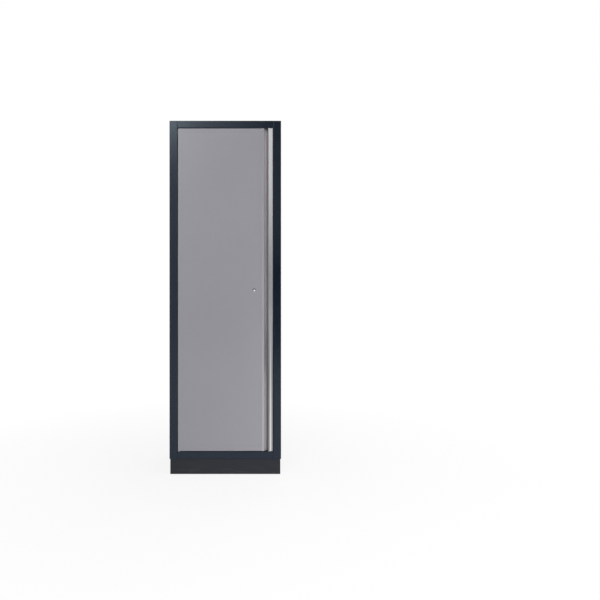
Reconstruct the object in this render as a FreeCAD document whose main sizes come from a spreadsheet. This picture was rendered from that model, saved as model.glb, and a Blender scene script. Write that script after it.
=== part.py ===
"""Tool chest side locker: a folded-steel cabinet with one full-height door.

Frame: millimetres, +Z up, +X to the right of someone facing the door, the door faces -Y.
The origin is on the ground, under the middle of the cabinet.
"""
import FreeCAD, Part
import math
import os
from types import SimpleNamespace

import Sketcher

Vector = FreeCAD.Vector
doc = FreeCAD.newDocument("side_locker")

# ---------------------------------------------------------------- driving sizes
# name, cell text, what it is. A text that starts with "=" is worked out from other cells.
TABLE = (
    ("width", "600", "carcass, side to side"),
    ("depth", "460", "carcass, front to back"),
    ("height", "1900", "ground to the top panel"),
    ("metal", "1.2", "carcass sheet thickness"),
    ("bend", "1.2", "inside radius of a carcass fold"),
    ("plinth_height", "83", "ground to the underside of the carcass"),
    ("plinth_inset", "4", "plinth face behind the carcass face, all round"),
    ("plinth_flange", "20", "width of the plinth's folded edges"),
    ("stile", "43", "front face of a side panel"),
    ("header", "38", "face height above the door opening"),
    ("sill", "40", "face height below the door opening"),
    ("recess", "26", "frame face to door stop"),
    ("stop", "15", "width of the side and top door stops"),
    ("sill_stop", "12", "door stop height above the sill"),
    ("rear_flange", "15", "side panel's folded rear edge"),
    ("tray_flange", "20", "folded edges of the top and floor panels"),
    ("link_radius", "5", "linking hole in a side panel"),
    ("link_pitch", "290", "linking holes, centre to centre"),
    ("link_first", "172", "lowest linking hole above the plinth"),
    ("link_inset", "20", "linking holes from the rear face"),
    ("wall_radius", "4.5", "wall fixing hole in the back panel"),
    ("wall_spread", "350", "wall fixing holes, side to side"),
    ("wall_low", "543", "lower wall fixing holes above the plinth"),
    ("wall_rise", "770", "wall fixing holes, low to high"),
    ("upright_width", "30", "slotted upright, front to back"),
    ("upright_reach", "12", "slotted upright, off the side wall"),
    ("upright_setback", "14", "front upright behind the door stop"),
    ("upright_rear", "33", "rear upright off the back panel"),
    ("upright_headroom", "50", "upright's end below the top panel"),
    ("slot_pitch", "78.75", "upright slots, centre to centre"),
    ("slot_first", "74.75", "lowest slot above the floor panel"),
    ("slot_width", "16", "upright slot, front to back"),
    ("slot_height", "6", "upright slot, low to high"),
    ("shelf_metal", "1", "shelf sheet thickness"),
    ("shelf_lip", "25", "depth of a shelf's folded edges"),
    ("shelf_hem", "10", "return under a shelf's front edge"),
    ("shelf_side_gap", "0.8", "shelf to upright"),
    ("shelf_front_gap", "5", "shelf behind the door stop"),
    ("shelf_rear_gap", "12", "shelf off the back panel"),
    ("clip_metal", "2", "shelf clip thickness"),
    ("clip_width", "14", "shelf clip, front to back"),
    ("clip_tongue", "14.8", "clip tongue beyond the upright's face"),
    ("clip_hook", "8", "clip hook above its tongue"),
    ("clip_leg", "12", "clip leg below its tongue"),
    ("clip_play", "0.2", "clip hook behind the upright's web"),
    ("door_gap", "2", "door to frame, all round"),
    ("door_setback", "1.5", "door face behind the frame face"),
    ("door_depth", "22", "door, front to back"),
    ("door_metal", "1", "door sheet thickness"),
    ("door_bend", "1", "inside radius of a door fold"),
    ("door_lip", "12", "inner lip of the door pan"),
    ("handle_width", "57", "grip profile, free edge to door skin"),
    ("handle_wall", "2", "grip profile wall"),
    ("nose_width", "23", "flat nose of the grip"),
    ("nose_round", "1.5", "rounding of the nose's edges"),
    ("groove_depth", "20", "finger groove below the door face"),
    ("groove_radius", "9.2", "round bottom of the finger groove"),
    ("groove_undercut", "4.4", "groove behind the nose's edge"),
    ("ramp_end", "46", "free edge to the end of the groove's ramp"),
    ("ramp_depth", "4", "ramp's end below the door face"),
    ("tongue_width", "15", "grip profile's flange behind the skin"),
    ("pivot_inset", "6", "pivot axis from the door's edge and face"),
    ("pin_radius", "2.5", "pivot pin"),
    ("pin_play", "0.05", "pivot pin in its bush, on the radius"),
    ("pin_engage", "9", "pivot pin inside the door"),
    ("pin_head", "4", "pivot pin's head radius"),
    ("pin_head_height", "2.5", "pivot pin's head height"),
    ("bush_radius", "4.5", "pivot bush"),
    ("plate_metal", "3", "hinge and pivot plates"),
    ("upper_plate", "280", "upper hinge plate along the door's edge"),
    ("lower_plate", "40", "lower hinge plate along the door's edge"),
    ("plate_drop", "36", "hinge plates' leg on the inner panel"),
    ("anchor_length", "60", "pivot plate in the frame"),
    ("washer_radius", "5", "pivot washer"),
    ("washer_play", "0.3", "pivot washer below the door"),
    ("lock_inset", "101", "lock axis from the door's free edge"),
    ("lock_rise", "866", "lock axis above the door's lower edge"),
    ("case_width", "53", "lock case, side to side"),
    ("case_height", "74", "lock case, low to high"),
    ("case_depth", "17", "lock case behind the skin"),
    ("case_wall", "2.5", "lock case wall"),
    ("barrel_radius", "8", "lock barrel"),
    ("barrel_length", "5", "lock barrel behind the door face"),
    ("flange_radius", "10", "lock barrel's flange on the door face"),
    ("flange_height", "1.5", "lock barrel's flange before the door face"),
    ("plug_radius", "6", "turning lock plug"),
    ("plug_play", "0.05", "plug in its barrel, on the radius"),
    ("plug_proud", "1", "turning lock plug before the door face"),
    ("key_slot_width", "1.5", "key slot"),
    ("key_slot_height", "8", "key slot"),
    ("gear_pitch_radius", "9", "pinion pitch circle"),
    ("gear_teeth", "12", "pinion teeth"),
    ("gear_addendum", "1", "tooth above the pitch line"),
    ("gear_dedendum", "1.4", "tooth below the pitch line"),
    ("gear_backlash", "0.25", "each tooth thinner than its space by this"),
    ("gear_width", "5", "pinion and rack, front to back"),
    ("journal_radius", "4", "pinion's rear bearing"),
    ("rod_radius", "3", "locking rod"),
    ("rod_offset", "13", "rod axis beside the lock axis"),
    ("rod_behind", "8", "rod axis behind the door face"),
    ("rod_inset", "1", "retracted rod tip inside the door's edge"),
    ("rod_hole", "4", "square hole for a rod, half its width"),
    ("rack_back", "7", "rack's back behind its pitch line"),
    ("rack_below", "21", "rack's far end past the lock axis"),
    ("rack_above", "14", "rack's near end past the lock axis"),
    ("guide_width", "20", "rod guide, side to side"),
    ("guide_tall", "24", "rod guide, low to high"),
    ("guide_wall", "1.7", "rod guide over the rod"),
    ("guide_play", "0.3", "rod in its guide, on the radius"),
    ("guide_first", "290", "nearer rod guide from the lock axis"),
    ("guide_end", "136", "farther rod guide from the door's end"),
    ("inner_metal", "0.8", "door's inner panel thickness"),
    ("inner_play", "0.2", "rod guides to the inner panel"),
    ("inner_edge", "42", "inner panel from the door's free edge"),
    ("inner_gap", "0.5", "inner panel's cut-outs round the lock case and hinge plates"),
    ("screw_head", "3.5", "screw's hexagon head, centre to corner"),
    ("screw_head_height", "2", "screw head height"),
    ("screw_margin", "5", "case screws from the case's edges"),
    ("buffer_radius", "5", "rubber door buffer"),
    ("buffer_play", "0.3", "buffer to the closed door"),
    ("buffer_end", "120", "end buffers from the opening's corners"),
    ("glide_radius", "6", "nylon door glide"),
    ("glide_height", "1.4", "nylon door glide"),
    ("glide_inset", "22", "glide from the opening's free side"),
    # worked-out sizes
    ("half_width", "=width / 2", ""),
    ("half_depth", "=depth / 2", ""),
    ("opening_half", "=half_width - stile", "half the door opening"),
    ("sill_top", "=plinth_height + sill", "underside of the opening"),
    ("opening_top", "=height - header", "top of the opening"),
    ("floor_top", "=sill_top + sill_stop", "storage floor"),
    ("stop_face", "=recess - half_depth", "front face of the side door stops"),
    ("rail_stop_face", "=stop_face + metal", "front face of the rails' door stops"),
    ("floor_face", "=rail_stop_face + metal", "front edge of the floor panel"),
    ("inside_half", "=half_width - metal", "side wall's inner face"),
    ("back_face", "=half_depth - 2 * metal", "back panel's inner face"),
    ("door_half", "=opening_half - door_gap", "half the door width"),
    ("door_bottom", "=sill_top + door_gap", ""),
    ("door_height", "=opening_top - sill_top - 2 * door_gap", ""),
    ("door_top", "=door_bottom + door_height", ""),
    ("door_face", "=door_setback - half_depth", "front of the door skin"),
    ("skin_end", "=door_half - handle_width", "door skin meets the grip profile"),
    ("pivot_x", "=pivot_inset - door_half", "pivot axis"),
    ("pivot_y", "=door_face + pivot_inset", "pivot axis"),
    ("lock_x", "=door_half - lock_inset", "lock axis"),
    ("lock_z", "=door_bottom + lock_rise", "lock axis"),
    ("rod_y", "=door_face + rod_behind", "rod axes"),
    ("inner_face", "=rod_y + rod_radius + guide_play + guide_wall + inner_play", "inner panel's front"),
    ("inner_back", "=inner_face + inner_metal", "inner panel's rear, seen with the door open"),
    ("upright_bottom", "=floor_top", ""),
    ("upright_top", "=height - upright_headroom", ""),
    ("front_upright", "=stop_face + upright_setback", "front edge of the front uprights"),
    ("rear_upright", "=back_face - upright_rear - upright_width", "front edge of the rear uprights"),
    ("shelf_half", "=inside_half - upright_reach - shelf_side_gap", "half a shelf's width"),
    ("shelf_front", "=stop_face + shelf_front_gap", ""),
    ("shelf_back", "=back_face - shelf_rear_gap", ""),
)

# slot in which each shelf's clips hang, counted from the lowest one
SHELF_SLOTS = {"shelf_top": 17, "shelf_upper": 13, "shelf_lower": 7, "shelf_bottom": 3}

# a cut through a sheet is this many sheet thicknesses long, half of it on each side
THROUGH = 4

# two coordinates closer than this are the same
SAME = 1e-6

# sides of a hexagon head, and of a small round stud
HEXAGON, ROUND = 6, 16

sheet = doc.addObject("Spreadsheet::Sheet", "Sizes")
for row, (name, text, note) in enumerate(TABLE, start=1):
    sheet.set(f"A{row}", name)
    sheet.set(f"B{row}", text)
    sheet.set(f"C{row}", note)
    sheet.setAlias(f"B{row}", name)
doc.recompute()


class Size:
    """A length as a number together with the sheet expression that it comes from."""

    def __init__(self, value, text):
        self.value = float(value)
        self.text = text

    def join(self, other, sign, value):
        right = other.text if isinstance(other, Size) else repr(float(other))
        return Size(value, f"({self.text} {sign} {right})")

    def __add__(self, other):
        return self.join(other, "+", self.value + number(other))

    def __sub__(self, other):
        return self.join(other, "-", self.value - number(other))

    def __mul__(self, other):
        return self.join(other, "*", self.value * number(other))

    def __truediv__(self, other):
        return self.join(other, "/", self.value / number(other))

    def __neg__(self):
        return Size(-self.value, f"(0 - {self.text})")

    def root(self):
        return Size(math.sqrt(self.value), f"sqrt({self.text})")


def number(item):
    """The plain value of a Size or of a number."""
    return item.value if isinstance(item, Size) else float(item)


s = SimpleNamespace(**{name: Size(sheet.get(name), f"Sizes.{name}") for name, _, _ in TABLE})
ZERO = Size(0, "0")
NODES = {}


# ---------------------------------------------------------------- shared operations
def bind(thing, path, size):
    """Ties one property of a document object to the sheet."""
    thing.setExpression(path, size.text)


def keep(label, thing):
    """Names a finished sub-part, which becomes one file."""
    thing.Label = label
    NODES[label] = thing
    return thing


def place(thing, x=ZERO, y=ZERO, z=ZERO):
    """Puts an object's own origin at x, y, z of the locker."""
    for axis, size in (("x", x), ("y", y), ("z", z)):
        bind(thing, f"Placement.Base.{axis}", size)
    return thing


def new_body(name):
    return doc.addObject("PartDesign::Body", name)


def origin_part(body, role):
    return next(item for item in body.Origin.OriginFeatures if item.Role == role)


def new_sketch(body, plane, offset=None):
    """A sketch on one of the body's own planes, moved along the plane's normal by offset."""
    sketch = body.newObject("Sketcher::SketchObject", body.Name + "_sketch")
    sketch.AttachmentSupport = [(origin_part(body, plane), "")]
    sketch.MapMode = "FlatFace"
    if offset is not None:
        bind(sketch, "AttachmentOffset.Base.z", offset)
    return sketch


class Corner:
    """A corner of an outline. bend rounds a square corner. arc is the radius of the edge that
    leaves the corner, where it is round: turn is 1 to the left and -1 to the right, and
    wide says that it goes round more than half a circle."""

    def __init__(self, x, y, bend=None, arc=None, turn=1, wide=False):
        self.x, self.y, self.bend = x, y, bend
        self.arc, self.turn, self.wide = arc, turn, wide


def heading(start, end):
    """Direction from start to end along one axis, as -1, 0 or 1 for x and y."""
    step_x = number(end.x) - number(start.x)
    step_y = number(end.y) - number(start.y)
    return (int(math.copysign(abs(step_x) > SAME, step_x)),
            int(math.copysign(abs(step_y) > SAME, step_y)))


def moved(size, radius, step):
    """size moved by radius in the direction step, which is -1, 0 or 1."""
    if step == 0:
        return size
    return size + radius if step > 0 else size - radius


def round_bends(corners):
    """Replaces each corner that has a bend by the two ends of its arc."""
    result = []
    for index, corner in enumerate(corners):
        if corner.bend is None:
            result.append(corner)
            continue
        before = heading(corners[index - 1], corner)
        after = heading(corner, corners[(index + 1) % len(corners)])
        turn = before[0] * after[1] - before[1] * after[0]
        radius = corner.bend
        result.append(Corner(moved(corner.x, radius, -before[0]), moved(corner.y, radius, -before[1]),
                             arc=radius, turn=turn))
        result.append(Corner(moved(corner.x, radius, after[0]), moved(corner.y, radius, after[1])))
    return result


def arc_between(start, end, radius, turn, wide):
    """The arc from start to end as Part geometry, which always runs to the left."""
    chord = end - start
    reach = math.sqrt(max(radius ** 2 - chord.Length ** 2 / 4, 0.0))
    side = Vector(-chord.y, chord.x, 0).normalize() * reach * turn * (-1 if wide else 1)
    centre = (start + end) / 2 + side
    first, last = (start, end) if turn > 0 else (end, start)
    angles = [math.atan2(point.y - centre.y, point.x - centre.x) for point in (first, last)]
    return Part.ArcOfCircle(Part.Circle(centre, Vector(0, 0, 1), radius), angles[0], angles[1])


def draw(sketch, corners):
    """Draws a closed outline, with every corner and radius tied to the sheet."""
    corners = round_bends(corners)
    points = [Vector(number(corner.x), number(corner.y), 0) for corner in corners]
    ends = []
    for index, corner in enumerate(corners):
        start, end = points[index], points[(index + 1) % len(points)]
        if corner.arc is None:
            edge = sketch.addGeometry(Part.LineSegment(start, end))
            ends.append((edge, 1, 2))
        else:
            arc = arc_between(start, end, number(corner.arc), corner.turn, corner.wide)
            edge = sketch.addGeometry(arc)
            ends.append((edge, 1, 2) if corner.turn > 0 else (edge, 2, 1))
    for index, corner in enumerate(corners):
        edge, start, _ = ends[index]
        last_edge, _, last_end = ends[index - 1]
        sketch.addConstraint(Sketcher.Constraint("Coincident", last_edge, last_end, edge, start))
        for kind, size in (("DistanceX", corner.x), ("DistanceY", corner.y)):
            rule = sketch.addConstraint(Sketcher.Constraint(kind, -1, 1, edge, start, number(size)))
            bind(sketch, f"Constraints[{rule}]", size)
        if corner.arc is not None:
            rule = sketch.addConstraint(Sketcher.Constraint("Radius", edge, number(corner.arc)))
            bind(sketch, f"Constraints[{rule}]", corner.arc)
    return sketch


def draw_circle(sketch, x, y, radius):
    """Draws a circle tied to the sheet."""
    centre = Vector(number(x), number(y), 0)
    edge = sketch.addGeometry(Part.Circle(centre, Vector(0, 0, 1), number(radius)))
    for kind, size in (("DistanceX", x), ("DistanceY", y)):
        rule = sketch.addConstraint(Sketcher.Constraint(kind, -1, 1, edge, 3, number(size)))
        bind(sketch, f"Constraints[{rule}]", size)
    rule = sketch.addConstraint(Sketcher.Constraint("Radius", edge, number(radius)))
    bind(sketch, f"Constraints[{rule}]", radius)
    return sketch


def rectangle(x_low, x_high, y_low, y_high, bend=None):
    return [Corner(x_low, y_low, bend), Corner(x_high, y_low, bend),
            Corner(x_high, y_high, bend), Corner(x_low, y_high, bend)]


def square(x, y, half):
    return rectangle(x - half, x + half, y - half, y + half)


def pad(body, sketch, length, centred=False, backwards=False):
    """Adds the sketch's outline carried along its normal."""
    feature = body.newObject("PartDesign::Pad", body.Name + "_pad")
    feature.Profile = sketch
    bind(feature, "Length", length)
    feature.SideType = "Symmetric" if centred else "One side"
    feature.Reversed = backwards
    sketch.Visibility = False
    doc.recompute()
    return feature


def pocket(body, sketch, length=None, centred=True, backwards=False):
    """Cuts the sketch's outline out, right through where length is None."""
    before = body.Shape.Volume
    feature = body.newObject("PartDesign::Pocket", body.Name + "_pocket")
    feature.Profile = sketch
    feature.SideType = "Symmetric" if centred else "One side"
    feature.Reversed = backwards
    if length is None:
        feature.Type = "ThroughAll"
    else:
        feature.Type = "Length"
        bind(feature, "Length", length)
    doc.recompute()
    if not body.Shape.Volume < before:
        raise RuntimeError(f"{feature.Name} cuts nothing")
    return feature


def repeat(body, feature, axis, pitch, count, backwards=False):
    """Repeats a feature along one of the body's axes."""
    pattern = body.newObject("PartDesign::LinearPattern", body.Name + "_row")
    pattern.Originals = [feature]
    pattern.Direction = (origin_part(body, axis), [""])
    pattern.Mode = "Spacing"
    pattern.Reversed = backwards
    bind(pattern, "Offset", pitch)
    pattern.Occurrences = count
    body.Tip = pattern
    doc.recompute()
    return pattern


def mirror(source, name, normal, base=None):
    """The mirror image of a finished sub-part, in the plane through base."""
    image = doc.addObject("Part::Mirroring", name)
    image.Source = source
    image.Normal = Vector(*normal)
    if base is not None:
        bind(image, "Base.z", base)
    return image


def group(label, *things):
    """Several like solids that share one node."""
    compound = doc.addObject("Part::Compound", label + "_group")
    compound.Links = list(things)
    return keep(label, compound)


def folded(start_x, start_y, moves, metal, bend, side):
    """Corners of a folded sheet. The moves are steps of the visible face, and side is the
    side of that face on which the metal lies, 1 for the left and -1 for the right."""
    steps = {"+x": (1, 0), "-x": (-1, 0), "+y": (0, 1), "-y": (0, -1)}
    headings = [steps[name] for name, _ in moves]
    normals = [(-side * y, side * x) for x, y in headings]
    x, y = start_x, start_y
    face = [(x, y)]
    for (name, length), step in zip(moves, headings):
        x, y = moved(x, length, step[0]), moved(y, length, step[1])
        face.append((x, y))
    front, back = [], []
    for index, (x, y) in enumerate(face):
        inner = 0 < index < len(face) - 1
        sides = normals[max(index - 1, 0):index + 1] if inner else [normals[min(index, len(moves) - 1)]]
        shift = [sum(normal[axis] for normal in sides) for axis in (0, 1)]
        front_bend = back_bend = None
        if inner:
            before, after = headings[index - 1], headings[index]
            turn = before[0] * after[1] - before[1] * after[0]
            outside = bend + metal
            front_bend, back_bend = (outside, bend) if turn == side else (bend, outside)
        front.append(Corner(x, y, front_bend))
        back.append(Corner(moved(x, metal, shift[0]), moved(y, metal, shift[1]), back_bend))
    return front + back[::-1]


def turned(name, outline):
    """A round piece: the outline, as radius and height, turned about the Z axis."""
    body = new_body(name)
    sketch = draw(new_sketch(body, "XZ_Plane"), outline)
    feature = body.newObject("PartDesign::Revolution", name + "_turn")
    feature.Profile = sketch
    feature.ReferenceAxis = (sketch, ["V_Axis"])
    feature.Angle = 360
    doc.recompute()
    return body


def ring(inner, outer, low, high):
    """Outline of a ring or, with no inner radius, of a disc."""
    return rectangle(inner, outer, low, high)


def stud(name, sides, radius, height):
    """A short upright prism, radius is from its centre to its corners."""
    prism = doc.addObject("Part::Prism", name)
    prism.Polygon = sides
    bind(prism, "Circumradius", radius)
    bind(prism, "Height", height)
    return prism


def facing_front(thing):
    """Turns a piece made along Z so that its Z end faces the front."""
    thing.Placement.Rotation = FreeCAD.Rotation(Vector(1, 0, 0), 90)
    return thing


# ---------------------------------------------------------------- carcass
def side_panel():
    """Left side: rear flange, wall, front stile, return and door stop, all from one sheet."""
    body = new_body("left_side")
    section = folded(-s.half_width + s.rear_flange, s.half_depth,
                     [("-x", s.rear_flange), ("-y", s.depth), ("+x", s.stile),
                      ("+y", s.recess), ("+x", s.stop)], s.metal, s.bend, 1)
    pad(body, draw(new_sketch(body, "XY_Plane"), section), s.height - s.plinth_height)
    # the foot flange stands on the plinth
    foot = rectangle(-s.half_width, -s.half_width + s.plinth_flange,
                     -s.half_depth + s.metal, s.half_depth - s.metal)
    pad(body, draw(new_sketch(body, "XY_Plane"), foot), s.metal)
    # the door stop ends where the rails cross it
    length = s.height - s.plinth_height
    stop_end = -s.opening_half + s.stop * 2
    for low, high in ((ZERO, s.sill + s.bend), (s.opening_top - s.plinth_height - s.bend, length)):
        notch = draw(new_sketch(body, "XZ_Plane", -s.stop_face),
                     rectangle(-s.opening_half, stop_end, low, high))
        pocket(body, notch, s.metal * THROUGH)
    # the return ends below the top panel's front flange
    notch = draw(new_sketch(body, "XY_Plane", length),
                 rectangle(-s.inside_half, stop_end, -s.half_depth + s.metal, s.stop_face + s.metal * 2))
    pocket(body, notch, s.tray_flange, centred=False)
    hole = draw_circle(new_sketch(body, "YZ_Plane"), s.half_depth - s.link_inset, s.link_first,
                       s.link_radius)
    cut = pocket(body, hole)
    count = 1 + int((s.height.value - s.plinth_height.value - s.link_first.value - s.tray_flange.value * 2)
                    // s.link_pitch.value)
    repeat(body, cut, "Z_Axis", s.link_pitch, count)
    place(body, z=s.plinth_height)
    keep("left_side_panel", body)
    keep("right_side_panel", mirror(body, "right_side", (1, 0, 0)))


def rail(name, label, start, moves, side):
    """A frame rail folded across the width, between the two stiles."""
    body = new_body(name)
    section = folded(start[0], start[1], moves, s.metal, s.bend, side)
    pad(body, draw(new_sketch(body, "YZ_Plane"), section), s.opening_half * 2, centred=True)
    return keep(label, body)


def frame_rails():
    """Header and sill. Their door stops lap behind those of the side panels."""
    header = rail("header", "header_rail", (-s.half_depth, s.height),
                  [("-y", s.header), ("+x", s.recess + s.metal), ("-y", s.stop)], 1)
    sill = rail("sill_rail", "bottom_rail", (-s.half_depth + s.plinth_flange, s.plinth_height),
                [("-x", s.plinth_flange), ("+y", s.sill), ("+x", s.recess + s.metal),
                 ("+y", s.sill_stop)], -1)
    for body, rod_side in ((header, -1), (sill, 1)):
        sketch = new_sketch(body, "XY_Plane", s.opening_top if body is header else s.sill_top)
        draw(sketch, square(moved(s.lock_x, s.rod_offset, rod_side), s.rod_y, s.rod_hole))
        draw_circle(sketch, s.pivot_x, s.pivot_y, s.pin_radius)
        pocket(body, sketch, s.metal * THROUGH)


def tray(name, label, x_half, y_low, y_high, top, flange, metal, bend):
    """A flat panel with its four edges folded down."""
    body = new_body(name)
    outer = draw(new_sketch(body, "XY_Plane"), rectangle(-x_half, x_half, y_low, y_high))
    pad(body, outer, flange)
    inner = draw(new_sketch(body, "XY_Plane"),
                 rectangle(-x_half + metal, x_half - metal, y_low + metal, y_high - metal))
    pocket(body, inner, flange - metal, centred=False, backwards=True)
    round_edges(body, lambda edge: top_edge(edge, flange.value), bend + metal)
    place(body, z=top - flange)
    return keep(label, body)


def top_edge(edge, height):
    """Whether an edge lies in the outer top outline of a tray."""
    return all(abs(vertex.Z - height) < SAME for vertex in edge.Vertexes)


def round_edges(body, chosen, radius):
    """Rounds the edges that chosen picks from the body's last shape."""
    base = body.Tip
    names = [f"Edge{index}" for index, edge in enumerate(base.Shape.Edges, start=1) if chosen(edge)]
    feature = body.newObject("PartDesign::Fillet", body.Name + "_fold")
    feature.Base = (base, names)
    bind(feature, "Radius", radius)
    doc.recompute()
    return feature


def panels():
    """Top, floor and back."""
    tray("top", "top_panel", s.inside_half, -s.half_depth + s.metal, s.back_face, s.height,
         s.tray_flange, s.metal, s.bend)
    tray("floor", "floor_panel", s.inside_half, s.floor_face, s.back_face, s.floor_top,
         s.tray_flange, s.metal, s.bend)
    body = new_body("back")
    half = s.inside_half - s.bend
    wall = draw(new_sketch(body, "XZ_Plane", -s.back_face),
                rectangle(-half, half, s.plinth_height + s.metal, s.height))
    pad(body, wall, s.metal, backwards=True)
    holes = new_sketch(body, "XZ_Plane", -s.back_face)
    low = s.plinth_height + s.wall_low
    for x in (-s.wall_spread / 2, s.wall_spread / 2):
        for z in (low, low + s.wall_rise):
            draw_circle(holes, x, z, s.wall_radius)
    pocket(body, holes)
    keep("back_panel", body)


def plinth():
    """Four channel rails. The side rails' webs run the full depth and close the corners."""
    front = -s.half_depth + s.plinth_inset
    side = -s.half_width + s.plinth_inset
    body = new_body("plinth_front")
    section = folded(front + s.plinth_flange, ZERO,
                     [("-x", s.plinth_flange), ("+y", s.plinth_height), ("+x", s.plinth_flange)],
                     s.metal, s.bend, -1)
    pad(body, draw(new_sketch(body, "YZ_Plane"), section), (-side - s.metal) * 2, centred=True)
    keep("plinth_front_rail", body)
    keep("plinth_rear_rail", mirror(body, "plinth_rear", (0, 1, 0)))
    body = new_body("plinth_side")
    section = folded(side + s.plinth_flange, ZERO,
                     [("-x", s.plinth_flange), ("+y", s.plinth_height), ("+x", s.plinth_flange)],
                     s.metal, s.bend, -1)
    pad(body, draw(new_sketch(body, "XZ_Plane"), section), (-front - s.plinth_flange) * 2, centred=True)
    web = rectangle(side, side + s.metal, ZERO, s.plinth_height)
    pad(body, draw(new_sketch(body, "XZ_Plane"), web), -front * 2, centred=True)
    keep("plinth_left_rail", body)
    keep("plinth_right_rail", mirror(body, "plinth_right", (1, 0, 0)))


# ---------------------------------------------------------------- storage
def uprights():
    """Slotted channels on the side walls. The slots face the storage space."""
    web = -s.inside_half + s.upright_reach
    length = s.upright_top - s.upright_bottom
    count = 1 + int((length.value - s.slot_first.value - s.slot_height.value) // s.slot_pitch.value)
    for name, edge in (("front", s.front_upright), ("rear", s.rear_upright)):
        body = new_body("upright_" + name)
        section = folded(-s.inside_half, edge,
                         [("+x", s.upright_reach), ("+y", s.upright_width), ("-x", s.upright_reach)],
                         s.metal, s.bend, 1)
        pad(body, draw(new_sketch(body, "XY_Plane"), section), length)
        middle = edge + s.upright_width / 2
        slot = rectangle(middle - s.slot_width / 2, middle + s.slot_width / 2,
                         s.slot_first - s.slot_height / 2, s.slot_first + s.slot_height / 2)
        cut = pocket(body, draw(new_sketch(body, "YZ_Plane", web), slot), s.metal * THROUGH)
        repeat(body, cut, "Z_Axis", s.slot_pitch, count)
        place(body, z=s.upright_bottom)
        keep(f"upright_{name}_left", body)
        keep(f"upright_{name}_right", mirror(body, f"upright_{name}_mirror", (1, 0, 0)))


def clips(label, bearing):
    """Four Z-shaped clips. bearing is the height at which the shelf rests on them."""
    body = new_body(label + "_left")
    web = -s.inside_half + s.upright_reach
    hook_face = web - s.metal - s.clip_play
    under = bearing - s.clip_metal
    outline = [Corner(hook_face - s.clip_metal, under),
               Corner(web, under), Corner(web, under - s.clip_leg),
               Corner(web + s.clip_metal, under - s.clip_leg), Corner(web + s.clip_metal, under),
               Corner(web + s.clip_tongue, under), Corner(web + s.clip_tongue, bearing),
               Corner(hook_face, bearing), Corner(hook_face, bearing + s.clip_hook),
               Corner(hook_face - s.clip_metal, bearing + s.clip_hook)]
    middle = s.front_upright + s.upright_width / 2
    sketch = draw(new_sketch(body, "XZ_Plane", -middle), outline)
    clip = pad(body, sketch, s.clip_width, centred=True)
    repeat(body, clip, "Y_Axis", s.rear_upright - s.front_upright, 2)
    group(label, body, mirror(body, label + "_right", (1, 0, 0)))


def shelves():
    """Trays with their edges folded down, each on its four clips."""
    for name, slot in SHELF_SLOTS.items():
        slot_middle = s.floor_top + s.slot_first + s.slot_pitch * slot
        bearing = slot_middle - s.slot_height / 2 + s.clip_metal
        shelf = tray(name, name, s.shelf_half, s.shelf_front, s.shelf_back, bearing + s.shelf_lip,
                     s.shelf_lip, s.shelf_metal, s.shelf_metal)
        hem = rectangle(-s.shelf_half, s.shelf_half, s.shelf_front, s.shelf_front + s.shelf_hem)
        pad(shelf, draw(new_sketch(shelf, "XY_Plane"), hem), s.shelf_metal)
        clips(name + "_clips", bearing)


def frame_trim():
    """Rubber buffers on the free-side door stop, nylon glides at the opening's free corners."""
    reach = s.stop_face - s.door_face - s.door_depth - s.buffer_play
    buffers = []
    span = s.door_height / 2 - s.buffer_end
    middle = s.door_bottom + s.door_height / 2
    for name, z in (("low", middle - span), ("mid", middle), ("high", middle + span)):
        body = facing_front(stud("buffer_" + name, ROUND, s.buffer_radius, reach))
        buffers.append(place(body, s.opening_half - s.stop / 2, s.stop_face, z))
    group("door_buffers", *buffers)
    glides = []
    for name, z in (("low", s.sill_top), ("high", s.opening_top - s.glide_height)):
        body = stud("glide_" + name, ROUND, s.glide_radius, s.glide_height)
        glides.append(place(body, s.opening_half - s.glide_inset, s.rod_y, z))
    group("door_glides", *glides)


# ---------------------------------------------------------------- pivots
def pivots():
    """A pin in the frame and a bush in the door, at the door's lower and upper corners."""
    middle = (s.door_bottom + s.door_top) / 2
    # lower pin: head below the frame plate, nose up in the door
    top = s.door_bottom + s.pin_engage
    foot = s.sill_top - s.metal - s.plate_metal
    outline = [Corner(ZERO, foot - s.pin_head_height), Corner(s.pin_head, foot - s.pin_head_height),
               Corner(s.pin_head, foot), Corner(s.pin_radius, foot), Corner(s.pin_radius, top),
               Corner(ZERO, top)]
    pin = place(turned("lower_pin", outline), s.pivot_x, s.pivot_y)
    group("pivot_pins", pin, mirror(pin, "upper_pin", (0, 0, 1), middle))
    bush = turned("lower_bush", ring(s.pin_radius + s.pin_play, s.bush_radius, s.door_bottom, top))
    place(bush, s.pivot_x, s.pivot_y)
    group("pivot_bushes", bush, mirror(bush, "upper_bush", (0, 0, 1), middle))
    washer = turned("washer", ring(s.pin_radius + s.pin_play, s.washer_radius, s.sill_top,
                                   s.door_bottom - s.washer_play))
    keep("pivot_washer", place(washer, s.pivot_x, s.pivot_y))
    # plate inside the sill that holds the pin
    body = new_body("lower_anchor")
    plate = draw(new_sketch(body, "XY_Plane", foot),
                 rectangle(-s.opening_half, -s.opening_half + s.anchor_length,
                           -s.half_depth + s.metal + s.bend, s.stop_face))
    pad(body, plate, s.plate_metal)
    pocket(body, draw_circle(new_sketch(body, "XY_Plane", foot), s.pivot_x, s.pivot_y, s.pin_radius))
    keep("lower_pivot_plate", body)
    keep("upper_pivot_plate", mirror(body, "upper_anchor", (0, 0, 1), middle))
    lower, lower_screws = hinge_plate("lower", s.lower_plate, 1)
    keep("lower_hinge_plate", lower)
    upper, upper_screws = hinge_plate("upper", s.upper_plate, 3)
    keep("upper_hinge_plate", mirror(upper, "upper_hinge_image", (0, 0, 1), middle))
    group("hinge_plate_screws", lower_screws,
          mirror(upper_screws, "upper_screws_image", (0, 0, 1), middle))


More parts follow.
